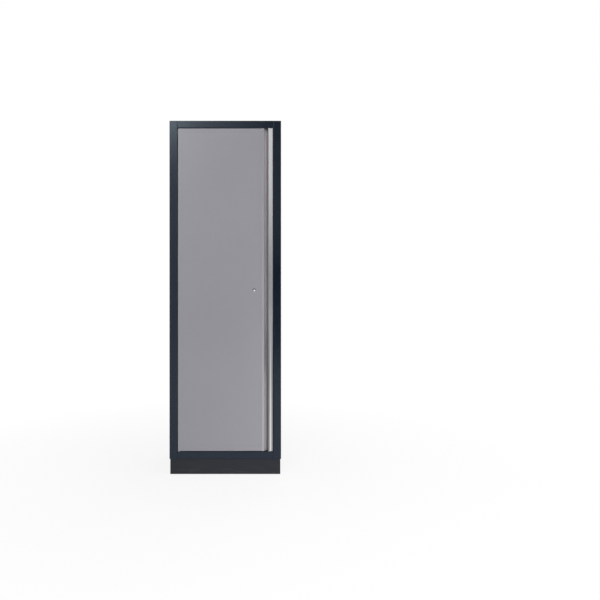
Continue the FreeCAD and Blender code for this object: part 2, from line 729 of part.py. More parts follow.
def hinge_plate(name, length, count):
    """Angle in the door's lower corner that carries the bush, and the row of screws that hold
    its upright leg to the inner panel."""
    body = new_body(name + "_hinge")
    base = s.door_bottom + s.door_metal
    front = s.door_face + s.door_metal
    left = -s.door_half + s.door_metal + s.bend
    leg_back = s.inner_back + s.plate_metal
    section = folded(front, base, [("+x", leg_back - front), ("+y", s.plate_drop)],
                     s.plate_metal, s.bend, 1)
    pad(body, draw(new_sketch(body, "YZ_Plane", left), section), length)
    pocket(body, draw_circle(new_sketch(body, "XY_Plane", base), s.pivot_x, s.pivot_y, s.bush_radius),
           s.plate_metal * THROUGH)
    screws = doc.addObject("Part::Compound", name + "_plate_screws")
    screws.Links = [screw(f"{name}_plate_screw_{index}", left + length * (index + 0.5) / count,
                          leg_back, base + s.plate_drop * 2 / 3) for index in range(count)]
    return body, screws


def screw(name, x, y, z):
    """A hexagon head that stands on a face which looks to the rear. The shank isn't modelled."""
    head = stud(name, HEXAGON, s.screw_head, s.screw_head_height)
    head.Placement.Rotation = FreeCAD.Rotation(Vector(1, 0, 0), -90)
    return place(head, x, y, z)


# ---------------------------------------------------------------- door
def door_skin():
    """Sheet pan, open to the rear and to the free side: the skin, three flanges and their lip."""
    body = new_body("skin")
    back = s.door_face + s.door_depth
    left = -s.door_half + s.door_metal
    low, high = s.door_metal, s.door_height - s.door_metal
    outer = rectangle(-s.door_half, s.skin_end, ZERO, s.door_height)
    pad(body, draw(new_sketch(body, "XZ_Plane", -back), outer), s.door_depth)
    round_edges(body, is_skin_fold, s.door_bend + s.door_metal)
    inner = rectangle(left, s.skin_end, low, high)
    pocket(body, draw(new_sketch(body, "XZ_Plane", -back), inner), s.door_depth - s.door_metal,
           centred=False, backwards=True)
    lip_left = s.door_lip - s.door_half
    lip_low, lip_high = s.door_lip, s.door_height - s.door_lip
    lip = [Corner(left, low), Corner(s.skin_end, low), Corner(s.skin_end, lip_low),
           Corner(lip_left, lip_low), Corner(lip_left, lip_high), Corner(s.skin_end, lip_high),
           Corner(s.skin_end, high), Corner(left, high)]
    pad(body, draw(new_sketch(body, "XZ_Plane", -back), lip), s.door_metal)
    lock_hole = draw_circle(new_sketch(body, "XZ_Plane", -s.door_face), s.lock_x, s.lock_rise,
                            s.barrel_radius)
    pocket(body, lock_hole, s.door_metal * THROUGH)
    for height, side in ((ZERO, 1), (s.door_height, -1)):
        holes = new_sketch(body, "XY_Plane", height)
        draw(holes, square(moved(s.lock_x, s.rod_offset, side), s.rod_y, s.rod_hole))
        draw_circle(holes, s.pivot_x, s.pivot_y, s.bush_radius)
        pocket(body, holes, s.door_metal * THROUGH)
    keep("door_skin", place(body, z=s.door_bottom))


def is_skin_fold(edge):
    """Whether an edge of the skin's face is a fold. The one on the free side is left open."""
    points = [vertex.Point for vertex in edge.Vertexes]
    return (all(abs(point.y - s.door_face.value) < SAME for point in points)
            and any(abs(point.x - s.skin_end.value) > SAME for point in points))


def inner_panel():
    """Flat sheet between the pan's flanges that covers the rods. It is cut out round the lock
    case and where the hinge plates pass through."""
    body = new_body("inner")
    edge = -s.door_half + s.door_metal
    free = s.door_half - s.inner_edge
    low, high = s.door_metal, s.door_height - s.door_metal
    slit = s.plate_metal + s.bend + s.inner_gap
    upper_end = edge + s.bend + s.upper_plate + s.inner_gap
    lower_end = edge + s.bend + s.lower_plate + s.inner_gap
    outline = [Corner(edge, low + slit), Corner(lower_end, low + slit), Corner(lower_end, low),
               Corner(free, low), Corner(free, high), Corner(upper_end, high),
               Corner(upper_end, high - slit), Corner(edge, high - slit)]
    sketch = draw(new_sketch(body, "XZ_Plane", -s.inner_back), outline)
    half_w, half_h = s.case_width / 2 + s.inner_gap, s.case_height / 2 + s.inner_gap
    draw(sketch, rectangle(s.lock_x - half_w, s.lock_x + half_w,
                           s.lock_rise - half_h, s.lock_rise + half_h))
    pad(body, sketch, s.inner_metal)
    keep("door_inner_panel", place(body, z=s.door_bottom))


def handle_profile():
    """Extruded aluminium grip: a hollow nose, an undercut finger groove, a ramp up to the skin.
    u runs inwards from the door's free edge and is drawn along -X, v runs back from its face."""
    body = new_body("handle")

    def corner(u, v, **how):
        return Corner(-u, v, **how)

    # finger groove: a circle that reaches behind the nose and touches the groove's floor
    centre_u = s.nose_width - s.groove_undercut + s.groove_radius
    centre_v = s.groove_depth - s.groove_radius

    def circle_v(u, radius, side):
        """v where the circle of this radius about the groove's centre crosses u."""
        across = (radius * radius - (centre_u - u) * (centre_u - u)).root()
        return centre_v - across if side < 0 else centre_v + across

    def circle_u(v, radius):
        """u where that circle crosses v, on the free-edge side."""
        return centre_u - (radius * radius - (centre_v - v) * (centre_v - v)).root()

    # the ramp is the tangent from its end to the circle
    away_u = s.ramp_end - centre_u
    away_v = s.ramp_depth - centre_v
    square = away_u * away_u + away_v * away_v
    share = s.groove_radius * s.groove_radius / square
    across = s.groove_radius * (square - s.groove_radius * s.groove_radius).root() / square
    touch_u = away_u * share - away_v * across
    touch_v = away_v * share + away_u * across
    outer_radius = s.groove_radius + s.handle_wall
    grow = outer_radius / s.groove_radius
    thick = s.handle_wall / s.groove_radius
    back = s.door_depth
    floor_u = centre_u
    groove_start = circle_v(s.nose_width, s.groove_radius, -1)
    step = s.door_metal
    outline = [
        corner(ZERO, ZERO, bend=s.nose_round),
        corner(ZERO, back, bend=s.nose_round),
        corner(floor_u, back, arc=outer_radius, turn=1),
        corner(centre_u + touch_u * grow, centre_v + touch_v * grow),
        corner(s.ramp_end + touch_u * thick, s.ramp_depth + touch_v * thick),
        corner(s.handle_width, s.handle_wall + step),
        corner(s.handle_width, ZERO),
        corner(s.ramp_end, s.ramp_depth),
        corner(centre_u + touch_u, centre_v + touch_v, arc=s.groove_radius, turn=-1, wide=True),
        corner(s.nose_width, groove_start),
        corner(s.nose_width, ZERO, bend=s.nose_round),
    ]
    sketch = draw(new_sketch(body, "XY_Plane"), outline)
    wall = s.handle_wall
    chamber = [
        corner(wall, wall),
        corner(wall, back - wall),
        corner(circle_u(back - wall, outer_radius), back - wall, arc=outer_radius, turn=-1),
        corner(circle_u(wall, outer_radius), wall),
    ]
    draw(sketch, chamber)
    pad(body, sketch, s.door_height)
    tongue = [corner(s.handle_width, step), corner(s.handle_width, step + wall),
              corner(s.handle_width + s.tongue_width, step + wall),
              corner(s.handle_width + s.tongue_width, step)]
    sketch = draw(new_sketch(body, "XY_Plane", s.door_metal), tongue)
    pad(body, sketch, s.door_height - s.door_metal * 2)
    keep("handle_profile", place(body, s.door_half, s.door_face, s.door_bottom))


# ---------------------------------------------------------------- lock
def lock_housing():
    """Case on the back of the skin, and the barrel with its flange on the door's face."""
    body = new_body("case")
    half_w, half_h = s.case_width / 2, s.case_height / 2
    outer = rectangle(-half_w, half_w, -half_h, half_h)
    pad(body, draw(new_sketch(body, "XZ_Plane"), outer), s.case_depth, backwards=True)
    inner = rectangle(-half_w + s.case_wall, half_w - s.case_wall,
                      -half_h + s.case_wall, half_h - s.case_wall)
    pocket(body, draw(new_sketch(body, "XZ_Plane"), inner), s.case_depth - s.case_wall, centred=False)
    # bearing for the pinion, and a mouth for each rod
    pocket(body, draw_circle(new_sketch(body, "XZ_Plane"), ZERO, ZERO, s.journal_radius + s.plug_play))
    for side in (-1, 1):
        mouth = square(moved(ZERO, s.rod_offset, side), s.rod_behind - s.door_metal, s.rod_hole)
        pocket(body, draw(new_sketch(body, "XY_Plane", moved(ZERO, half_h, -side)), mouth),
               s.case_wall * THROUGH)
    keep("lock_case", place(body, s.lock_x, s.door_face + s.door_metal, s.lock_z))
    screws = []
    for index, (x_side, z_side) in enumerate(((-1, -1), (1, -1), (1, 1), (-1, 1))):
        screws.append(screw(f"case_screw_{index}", moved(s.lock_x, half_w - s.screw_margin, x_side),
                            s.door_face + s.door_metal + s.case_depth,
                            moved(s.lock_z, half_h - s.screw_margin, z_side)))
    group("lock_case_screws", *screws)
    bore = s.plug_radius + s.plug_play
    outline = [Corner(bore, -s.barrel_length), Corner(s.barrel_radius, -s.barrel_length),
               Corner(s.barrel_radius, ZERO), Corner(s.flange_radius, ZERO),
               Corner(s.flange_radius, s.flange_height), Corner(bore, s.flange_height)]
    keep("lock_barrel", place(facing_front(turned("barrel", outline)), s.lock_x, s.door_face, s.lock_z))


def lock_plug():
    """Turning plug with its key slot, and the journal that carries the pinion."""
    body = turned("plug", ring(ZERO, s.plug_radius, -s.rod_behind + s.gear_width / 2, s.plug_proud))
    slot = rectangle(-s.key_slot_width / 2, s.key_slot_width / 2,
                     -s.key_slot_height / 2, s.key_slot_height / 2)
    pocket(body, draw(new_sketch(body, "XY_Plane", s.plug_proud), slot), s.barrel_length * 2)
    keep("lock_plug", place(facing_front(body), s.lock_x, s.door_face, s.lock_z))


def involute(radius, base):
    """Angle of an involute of the base circle where it reaches this radius."""
    if radius <= base:
        return 0.0
    ratio = math.sqrt((radius / base) ** 2 - 1)
    return ratio - math.atan(ratio)


def pinion():
    """Spur pinion with stub teeth, each flank in two steps along its involute, and a journal."""
    pressure = math.radians(20)
    pitch_radius = s.gear_pitch_radius.value
    teeth = int(s.gear_teeth.value)
    base = pitch_radius * math.cos(pressure)
    tip = pitch_radius + s.gear_addendum.value
    root = pitch_radius - s.gear_dedendum.value
    thickness = math.pi * pitch_radius / teeth - s.gear_backlash.value
    half = thickness / (2 * pitch_radius) + involute(pitch_radius, base)
    flank = [(root, half)] + [(r, half - involute(r, base)) for r in (base, (base + tip) / 2, tip)]
    points = []
    for tooth in range(teeth):
        middle = (tooth + 0.5) * 2 * math.pi / teeth
        for radius, away in [(r, -angle) for r, angle in flank] + flank[::-1]:
            points.append(Vector(radius * math.cos(middle + away), radius * math.sin(middle + away), 0))
    wheel = Part.Face(Part.makePolygon(points + points[:1])).extrude(Vector(0, 0, s.gear_width.value))
    journal = Part.makeCylinder(s.journal_radius.value, s.case_depth.value + s.door_metal.value
                                - s.rod_behind.value - s.gear_width.value / 2)
    journal.translate(Vector(0, 0, -journal.BoundBox.ZLength))
    wheel = wheel.fuse(journal).removeSplitter()
    # turned so that its back is at the case and its front meets the plug
    wheel.rotate(Vector(0, 0, 0), Vector(1, 0, 0), 90)
    feature = doc.addObject("Part::Feature", "pinion")
    feature.Shape = wheel
    keep("lock_pinion", place(feature, s.lock_x, s.rod_y + s.gear_width / 2, s.lock_z))


def rod(name, label, side):
    """Round rod with a toothed rack at its inner end. side is -1 for the upper rod, which lies
    to the left of the lock, and 1 for the lower one. The rack's teeth face the pinion."""
    body = new_body(name)
    pitch = s.gear_pitch_radius * (2 * math.pi) / s.gear_teeth
    slope = math.tan(math.radians(20))
    half_tooth = pitch / 4 - s.gear_backlash / 2
    # the rack keeps a little more depth than the pinion's tooth needs
    tip = s.gear_pitch_radius - s.gear_addendum
    root = s.gear_pitch_radius + s.gear_dedendum
    back = s.gear_pitch_radius + s.rack_back
    up = -side
    far, near = -s.rack_below * up, s.rack_above * up
    half_tip = half_tooth - s.gear_addendum * slope
    half_root = half_tooth + s.gear_dedendum * slope
    first_tooth = -int((s.rack_below.value - half_root.value) // pitch.value)
    last_tooth = int((s.rack_above.value / 2 - half_root.value) // pitch.value)
    outline = [Corner(back * side, far), Corner(root * side, far)]
    for tooth in range(first_tooth, last_tooth + 1):
        middle = pitch * tooth * up
        for width, depth in ((-half_root, root), (-half_tip, tip), (half_tip, tip), (half_root, root)):
            outline.append(Corner(depth * side, middle + width * up))
    outline.append(Corner(root * side, near))
    outline.append(Corner(back * side, near))
    pad(body, draw(new_sketch(body, "XZ_Plane"), outline), s.gear_width, centred=True)
    # round shank from the rack to the tip inside the door's edge
    start = s.rack_above - s.rod_radius
    reach = s.door_height - s.lock_rise if up > 0 else s.lock_rise
    length = reach - s.rod_inset - start
    shank = draw_circle(new_sketch(body, "XY_Plane", start * up), s.rod_offset * side, ZERO, s.rod_radius)
    pad(body, shank, length, backwards=up < 0)
    keep(label, place(body, s.lock_x, s.rod_y, s.lock_z))


def rod_guides(label, side):
    """Nylon blocks on the skin that the rod runs through."""
    body = new_body(label + "_pair")
    up = -side
    base = s.door_metal - s.rod_behind
    crown = s.rod_radius + s.guide_play + s.guide_wall
    sketch = draw(new_sketch(body, "XY_Plane", s.guide_first * up), rectangle(
        -s.guide_width / 2, s.guide_width / 2, base, crown))
    draw(sketch, square(ZERO, ZERO, s.rod_radius + s.guide_play))
    block = pad(body, sketch, s.guide_tall, centred=True)
    reach = s.door_height - s.lock_rise if up > 0 else s.lock_rise
    repeat(body, block, "Z_Axis", reach - s.guide_end - s.guide_first, 2, backwards=up < 0)
    keep(label, place(body, moved(s.lock_x, s.rod_offset, side), s.rod_y, s.lock_z))


# ---------------------------------------------------------------- build
def check():
    """Stops on any object that failed or any sub-part without a sound shape."""
    for thing in doc.Objects:
        if "Invalid" in thing.State or "Error" in thing.State:
            raise RuntimeError(f"{thing.Name} failed: {thing.State}")
    for label, thing in NODES.items():
        shape = thing.Shape
        if shape.isNull() or not shape.isValid() or not shape.Solids:
            raise RuntimeError(f"{label} has no sound solid")


def main():
    side_panel()
    frame_rails()
    panels()
    plinth()
    uprights()
    shelves()
    frame_trim()
    pivots()
    door_skin()
    inner_panel()
    handle_profile()
    lock_housing()
    lock_plug()
    pinion()
    rod("upper_shaft", "upper_rod", -1)
    rod("lower_shaft", "lower_rod", 1)
    rod_guides("upper_rod_guides", -1)
    rod_guides("lower_rod_guides", 1)
    doc.recompute()
    check()
    os.makedirs("parts", exist_ok=True)
    for label, thing in NODES.items():
        thing.Shape.exportStep(os.path.join("parts", label + ".step"))
        print(f"{label}: {len(thing.Shape.Solids)} solid(s), {thing.Shape.Volume / 1000:.1f} cm3")


main()
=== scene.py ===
"""Tool chest side locker: finishes, small turned and moulded pieces, light and camera.

Metres, +Z up, the door faces -Y. Each section below is one piece or a group of like pieces.
"""
import math

import bmesh
import bpy
import numpy as np
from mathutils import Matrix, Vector


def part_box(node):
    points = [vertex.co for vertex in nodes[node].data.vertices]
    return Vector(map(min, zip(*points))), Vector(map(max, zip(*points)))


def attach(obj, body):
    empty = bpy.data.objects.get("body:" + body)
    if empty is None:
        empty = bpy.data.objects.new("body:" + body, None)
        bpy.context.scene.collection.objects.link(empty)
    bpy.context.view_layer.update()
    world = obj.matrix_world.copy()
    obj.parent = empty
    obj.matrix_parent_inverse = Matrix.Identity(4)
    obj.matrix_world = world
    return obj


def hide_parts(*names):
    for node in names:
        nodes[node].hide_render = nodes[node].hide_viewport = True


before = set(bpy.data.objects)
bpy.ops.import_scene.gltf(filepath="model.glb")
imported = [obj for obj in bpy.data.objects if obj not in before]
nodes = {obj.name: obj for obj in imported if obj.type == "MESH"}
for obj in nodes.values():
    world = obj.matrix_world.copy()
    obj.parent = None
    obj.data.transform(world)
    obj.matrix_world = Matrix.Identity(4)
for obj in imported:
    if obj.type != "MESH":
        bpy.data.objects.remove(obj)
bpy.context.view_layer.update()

MM = 0.001

# ---------------------------------------------------------------- plinth
# Four folded channels of 1.2 mm steel that stand on the floor, powder coated in a
# flatter charcoal than the carcass. Shoes and brooms leave dust and scuffs near the floor.


class Finish:
    """A surface finish: a material, its node tree and its shader."""

    def __init__(self, name, **values):
        self.material = bpy.data.materials.new(name)
        self.material.use_nodes = True
        self.tree = self.material.node_tree
        self.shader = self.tree.nodes["Principled BSDF"]
        for socket, value in values.items():
            self.shader.inputs[socket.replace("_", " ")].default_value = value
        self.place = self.add("ShaderNodeTexCoord").outputs["Object"]

    def add(self, kind, inputs=None, **settings):
        """A node with its settings and with its inputs joined or set."""
        node = self.tree.nodes.new(kind)
        for key, value in settings.items():
            setattr(node, key, value)
        for key, value in (inputs or {}).items():
            self.feed(node, key, value)
        return node

    def feed(self, node, key, value):
        if isinstance(value, bpy.types.NodeSocket):
            self.tree.links.new(value, node.inputs[key])
        else:
            node.inputs[key].default_value = value

    def stretched(self, x, y, z):
        """The object's own coordinates, scaled along each axis."""
        return self.add("ShaderNodeMapping", {"Vector": self.place, "Scale": (x, y, z)}).outputs[0]

    def noise(self, scale, detail=2.0, place=None, rough=0.5):
        node = self.add("ShaderNodeTexNoise", {"Vector": place or self.place, "Scale": scale,
                                               "Detail": detail, "Roughness": rough})
        return node.outputs["Fac"]

    def cells(self, scale):
        """A random value for each cell of a fine irregular grain."""
        node = self.add("ShaderNodeTexVoronoi", {"Vector": self.place, "Scale": scale})
        return self.add("ShaderNodeSeparateColor", {0: node.outputs["Color"]}).outputs[0]

    def ranged(self, value, low, high, start=0.0, end=1.0):
        """value between start and end, carried to low and high."""
        node = self.add("ShaderNodeMapRange", {"Value": value, "From Min": start, "From Max": end,
                                               "To Min": low, "To Max": high})
        return node.outputs[0]

    def mixed(self, share, first, second):
        """first and second blended by share, as colours."""
        node = self.add("ShaderNodeMix", data_type="RGBA")
        for index, value in ((0, share), (6, first), (7, second)):
            self.feed(node, index, value)
        return node.outputs[2]

    def math(self, operation, first, second=0.0):
        return self.add("ShaderNodeMath", {0: first, 1: second}, operation=operation).outputs[0]

    def bumped(self, height, strength, depth, under=None):
        inputs = {"Height": height, "Strength": strength, "Distance": depth}
        if under is not None:
            inputs["Normal"] = under
        return self.add("ShaderNodeBump", inputs).outputs[0]

    def shade(self, **sockets):
        """Joins or sets the shader's sockets."""
        for socket, value in sockets.items():
            self.feed(self.shader, socket.replace("_", " "), value)
        return self.material


def opaque(red, green, blue):
    return (red, green, blue, 1.0)


def tinted(colour, factor):
    return tuple(channel * factor for channel in colour[:3]) + (1.0,)


# Pigment grains and orange-peel waves to the metre, and the waves' depth
PIGMENT, ORANGE_PEEL, PEEL_DEPTH = 1900.0, 620.0, 0.0003


def powder_coat(name, colour, roughness, peel, gloss, sheen=opaque(1, 1, 1), scuffs=0.0):
    """Baked powder coat: fine pigment grain, orange peel, faint cloudiness of tone and gloss,
    and where scuffs is above nought, pale dust and rubs that fade out above the floor."""
    coat = Finish(name, IOR=1.5, Specular_IOR_Level=gloss, Specular_Tint=sheen)
    cloud = coat.noise(2.6, 3.0)
    grain = coat.noise(PIGMENT, 1.0)
    tone = coat.mixed(coat.ranged(cloud, 0.0, 1.0, 0.3, 0.7), tinted(colour, 0.93),
                      tinted(colour, 1.07))
    tone = coat.mixed(coat.ranged(grain, 0.0, 0.35, 0.45, 0.75), tone, tinted(colour, 1.35))
    shine = coat.ranged(coat.noise(7.0, 4.0), roughness - 0.04, roughness + 0.05, 0.3, 0.7)
    if scuffs:
        height = coat.add("ShaderNodeSeparateXYZ", {0: coat.place}).outputs[2]
        near_floor = coat.ranged(height, 1.0, 0.0, 0.004, 0.075)
        rubs = coat.noise(1.0, 5.0, coat.stretched(9.0, 9.0, 60.0), 0.65)
        worn = coat.math("MULTIPLY", near_floor, coat.ranged(rubs, 0.0, scuffs, 0.5, 0.78))
        tone = coat.mixed(worn, tone, opaque(0.22, 0.215, 0.20))
        shine = coat.math("ADD", shine, worn)
    skin = coat.bumped(coat.noise(ORANGE_PEEL, 2.0), peel, PEEL_DEPTH)
    return coat.shade(Base_Color=tone, Roughness=shine,
                      Normal=coat.bumped(grain, 0.05, 0.00006, skin))


def dress(material, *names):
    """Gives CAD nodes their finish."""
    for name in names:
        for slot in nodes[name].material_slots:
            slot.material = material


plinth_paint = powder_coat("plinth powder coat", opaque(0.0125, 0.0145, 0.0195), 0.5, 0.14, 0.34,
                           scuffs=0.12)
dress(plinth_paint, "plinth_front_rail", "plinth_rear_rail", "plinth_left_rail",
      "plinth_right_rail")

# ---------------------------------------------------------------- carcass
# Two side panels folded to stiles and door stops, header, bottom rail and top panel, all of
# 1.2 mm steel, welded together and powder coated semi-gloss in a charcoal with some navy.
NAVY_SHEEN = opaque(0.74, 0.87, 1.0)
carcass_paint = powder_coat("carcass powder coat", opaque(0.0060, 0.0090, 0.0165), 0.215, 0.10,
                            0.42, NAVY_SHEEN)
dress(carcass_paint, "left_side_panel", "right_side_panel", "header_rail", "bottom_rail",
      "top_panel")

# ---------------------------------------------------------------- back, floor, uprights
# Flat back panel, folded floor panel and four slotted uprights, spot-welded inside the
# carcass and coated with it. The coat is a little flatter in here and painted paler than
# the carcass's, a painted light for the interior, and paler still on the floor panel.
# Inside coat painted paler than the carcass's coat: painted light.
inside_paint_painted_light = powder_coat("inside powder coat", opaque(0.0125, 0.0195, 0.0300), 0.36, 0.12, 0.4,
                           NAVY_SHEEN)
dress(inside_paint_painted_light, "back_panel", "upright_front_left", "upright_front_right", "upright_rear_left",
      "upright_rear_right")
# The floor panel's coat is painted paler still: painted light.
floor_paint_painted_light = powder_coat("floor powder coat painted paler", opaque(0.034, 0.046, 0.060), 0.5, 0.12, 0.4)
dress(floor_paint_painted_light, "floor_panel")

# ---------------------------------------------------------------- shelves
# Trays of 1 mm steel with their edges folded down, in a coat painted paler than the inside
# coat: painted light. Their tops are rubbed brighter along fine lines by what slides in
# and out.


def shelf_coat_painted_light():
    """The inside coat painted paler as painted light, with faint rub lines that run front to back.
    """
    coat = Finish("shelf powder coat", IOR=1.5, Specular_IOR_Level=0.5)
    grain = coat.noise(PIGMENT, 1.0)
    rubs = coat.noise(1.0, 4.0, coat.stretched(160.0, 3.0, 30.0), 0.6)
    # The shelves' tone is painted paler than the inside coat: painted light.
    tone = coat.mixed(coat.ranged(grain, 0.0, 0.35, 0.45, 0.75), opaque(0.021, 0.030, 0.043),
                      opaque(0.030, 0.039, 0.053))
    tone = coat.mixed(coat.ranged(rubs, 0.0, 0.25, 0.56, 0.8), tone, opaque(0.075, 0.085, 0.10))
    shine = coat.ranged(rubs, 0.32, 0.42, 0.3, 0.75)
    skin = coat.bumped(coat.noise(ORANGE_PEEL, 2.0), 0.10, PEEL_DEPTH)
    return coat.shade(Base_Color=tone, Roughness=shine, Normal=skin)


dress(shelf_coat_painted_light(), "shelf_top", "shelf_upper", "shelf_lower", "shelf_bottom")

# ---------------------------------------------------------------- shelf clips
# Z-shaped steel clips hooked into the uprights' slots, four to a shelf, bright zinc plated.
# A shelf is moved by lifting it off and hooking its clips into other slots.


def zinc_plate():
    """Zinc plate: a bluish sheen with a patchy passivated bloom and fine rolling lines."""
    plate = Finish("zinc plate", Metallic=1.0)
    patches = plate.cells(420.0)
    bloom = plate.noise(60.0, 3.0)
    tone = plate.mixed(plate.ranged(patches, 0.0, 0.5), opaque(0.50, 0.52, 0.55),
                       opaque(0.66, 0.67, 0.68))
    tone = plate.mixed(plate.ranged(bloom, 0.0, 0.4, 0.5, 0.75), tone, opaque(0.62, 0.58, 0.48))
    lines = plate.noise(1.0, 3.0, plate.stretched(300.0, 2400.0, 2400.0))
    return plate.shade(Base_Color=tone, Roughness=plate.ranged(patches, 0.26, 0.40),
                       Normal=plate.bumped(lines, 0.10, 0.00008))


zinc = zinc_plate()
dress(zinc, "shelf_top_clips", "shelf_upper_clips", "shelf_lower_clips", "shelf_bottom_clips")

# ---------------------------------------------------------------- door buffers
# Three domed rubber buffers glued to the free-side door stop. The closed door rests on them
# and doesn't ring against the frame.


def rubber():
    """Black moulded rubber with a fine matt grain and a trace of bloom."""
    black = Finish("buffer rubber", IOR=1.5, Specular_IOR_Level=0.35)
    bloom = black.noise(300.0, 4.0)
    tone = black.mixed(black.ranged(bloom, 0.0, 1.0, 0.35, 0.7), opaque(0.018, 0.018, 0.019),
                       opaque(0.045, 0.045, 0.046))
    return black.shade(Base_Color=tone, Roughness=black.ranged(bloom, 0.62, 0.8, 0.3, 0.7),
                       Normal=black.bumped(black.noise(1500.0), 0.2, 0.00015))


def rounded(corners, steps=5):
    """A profile of (radius, height, rounding) corners: each rounded corner becomes a run of
    points on the quadratic curve that leaves and enters it at its rounding's distance."""
    points = np.array([corner[:2] for corner in corners], dtype=float)
    result = []
    for index, (*_, rounding) in enumerate(corners):
        here = points[index]
        if not rounding or index in (0, len(corners) - 1):
            result.append(here[None])
            continue
        before, after = points[index - 1] - here, points[index + 1] - here
        start = here + before / np.linalg.norm(before) * rounding
        end = here + after / np.linalg.norm(after) * rounding
        t = np.linspace(0, 1, steps)[:, None]
        result.append((1 - t) ** 2 * start + 2 * t * (1 - t) * here + t ** 2 * end)
    return np.concatenate(result)


def grid_faces(rings, around):
    """Quads between neighbouring rings of a grid that closes round on itself. Ring i joins
    ring i + 1, and point j joins point j + 1, counted round."""
    i, j = np.meshgrid(np.arange(rings - 1), np.arange(around), indexing="ij")
    k = (j + 1) % around
    quads = np.stack([i * around + j, i * around + k, (i + 1) * around + k, (i + 1) * around + j],
                     -1)
    return quads.reshape(-1, 4)


def mesh_piece(name, points, quads, smooth_below=35.0):
    """A mesh object from arrays of points and quads. Doubled points, as at a pole, are merged,
    the faces are turned outwards, and edges sharper than the angle are kept crisp."""
    mesh = bpy.data.meshes.new(name)
    mesh.from_pydata(points.tolist(), [], quads.tolist())
    work = bmesh.new()
    work.from_mesh(mesh)
    bmesh.ops.remove_doubles(work, verts=work.verts, dist=1e-6)
    bmesh.ops.dissolve_degenerate(work, edges=work.edges, dist=1e-7)
    bmesh.ops.recalc_face_normals(work, faces=work.faces)
    work.to_mesh(mesh)
    work.free()
    mesh.shade_smooth()
    mesh.set_sharp_from_angle(angle=math.radians(smooth_below))
    piece = bpy.data.objects.new(name, mesh)
    bpy.context.scene.collection.objects.link(piece)
    return piece


def turned_points(profile, around):
    """A profile carried round an axis: point (i, j) is the profile's radius i at angle j, at the
    profile's height i. Returned as across, upwards and along the axis."""
    angle = np.linspace(0, 2 * math.pi, around, endpoint=False)
    radius, height = profile[:, 0, None], profile[:, 1, None]
    rings = np.stack([radius * np.cos(angle), radius * np.sin(angle), height + 0 * angle], -1)
    return rings.reshape(-1, 3)


def facing(points, axis):
    """Points made along an axis, laid so that they look along +Z, -Z, -Y or +Y."""
    across, up, out = points.T
    turns = {"+Z": (across, up, out), "-Z": (across, -up, -out),
             "-Y": (across, -out, up), "+Y": (-across, out, up)}
    return np.stack(turns[axis], -1)


def repeated(name, points, quads, places):
    """One mesh of the same shape set down at several places."""
    places = np.asarray(places, dtype=float)
    every = (points[None] + places[:, None]).reshape(-1, 3)
    steps = np.arange(len(places))[:, None, None] * len(points)
    return mesh_piece(name, every, (quads[None] + steps).reshape(-1, 4))


def box_corners(node):
    """A CAD node's lowest and highest corner as arrays."""
    low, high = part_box(node)
    return np.array(low), np.array(high)


def dress_piece(piece, material, body, slot, *replaced):
    """Gives a new piece its finish and its body, and hides the CAD nodes it stands for."""
    piece.data.materials.append(material)
    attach(piece, body)
    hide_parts(*replaced)


# BUTTON_SIDES is the number of faces round a buffer or a glide
BUFFER_RADIUS, BUTTON_SIDES = 5 * MM, 40
low, high = box_corners("door_buffers")
reach = high[1] - low[1]
dome = rounded([(0, reach, 0), (BUFFER_RADIUS * 0.94, reach, 2.4 * MM),
                (BUFFER_RADIUS, 0.3 * MM, 0.2 * MM), (BUFFER_RADIUS, 0, 0), (0, 0, 0)])
points = facing(turned_points(dome, BUTTON_SIDES), "-Y")
middle = (low + high) / 2
heights = (low[2] + BUFFER_RADIUS, middle[2], high[2] - BUFFER_RADIUS)
buffers = repeated("rubber_buffers", points, grid_faces(len(dome), BUTTON_SIDES),
                   [(middle[0], high[1], z) for z in heights])
dress_piece(buffers, rubber(), "cabinet", "buffer_rubber", "door_buffers")

# ---------------------------------------------------------------- door glides
# Two low nylon buttons pressed into the header and the bottom rail at the free corner, so
# that a dropped door slides on plastic and doesn't scrape the paint.


def natural_nylon():
    """Undyed nylon: ivory white, slightly waxy, with faint swirls from the moulding."""
    white = Finish("natural nylon", IOR=1.53, Subsurface_Weight=0.15, Subsurface_Scale=0.004)
    swirl = white.noise(90.0, 4.0)
    tone = white.mixed(swirl, opaque(0.80, 0.79, 0.73), opaque(0.88, 0.87, 0.83))
    return white.shade(Base_Color=tone, Roughness=white.ranged(swirl, 0.38, 0.5),
                       Normal=white.bumped(white.noise(900.0), 0.06, 0.0001))


nylon = natural_nylon()
GLIDE_RADIUS, GLIDE_HEIGHT = 6 * MM, 1.4 * MM
low, high = box_corners("door_glides")
middle = (low + high) / 2
button = rounded([(0, GLIDE_HEIGHT, 0), (GLIDE_RADIUS * 0.96, GLIDE_HEIGHT * 0.98, 1.1 * MM),
                  (GLIDE_RADIUS, 0, 0), (0, 0, 0)])
lying, hanging = (facing(turned_points(button, BUTTON_SIDES), axis) for axis in ("+Z", "-Z"))
quads = grid_faces(len(button), BUTTON_SIDES)
points = np.concatenate([lying + (middle[0], middle[1], low[2]),
                         hanging + (middle[0], middle[1], high[2])])
glides = mesh_piece("nylon_glides", points, np.concatenate([quads, quads + len(lying)]))
dress_piece(glides, nylon, "cabinet", "nylon", "door_glides")

# ---------------------------------------------------------------- pivots
# Zinc-plated pins and frame plates, brass bushes in the door, a nylon washer that carries
# the door's weight, and two dark phosphated hinge plates inside the door.


def turned_brass():
    """Brass with fine lathe rings, slightly tarnished in patches."""
    brass = Finish("turned brass", Metallic=1.0)
    tarnish = brass.noise(140.0, 3.0)
    tone = brass.mixed(brass.ranged(tarnish, 0.0, 1.0, 0.4, 0.8), opaque(0.72, 0.55, 0.28),
                       opaque(0.45, 0.31, 0.14))
    rings = brass.noise(1.0, 2.0, brass.stretched(1.0, 1.0, 5000.0))
    return brass.shade(Base_Color=tone, Roughness=brass.ranged(tarnish, 0.25, 0.42),
                       Normal=brass.bumped(rings, 0.12, 0.00005))


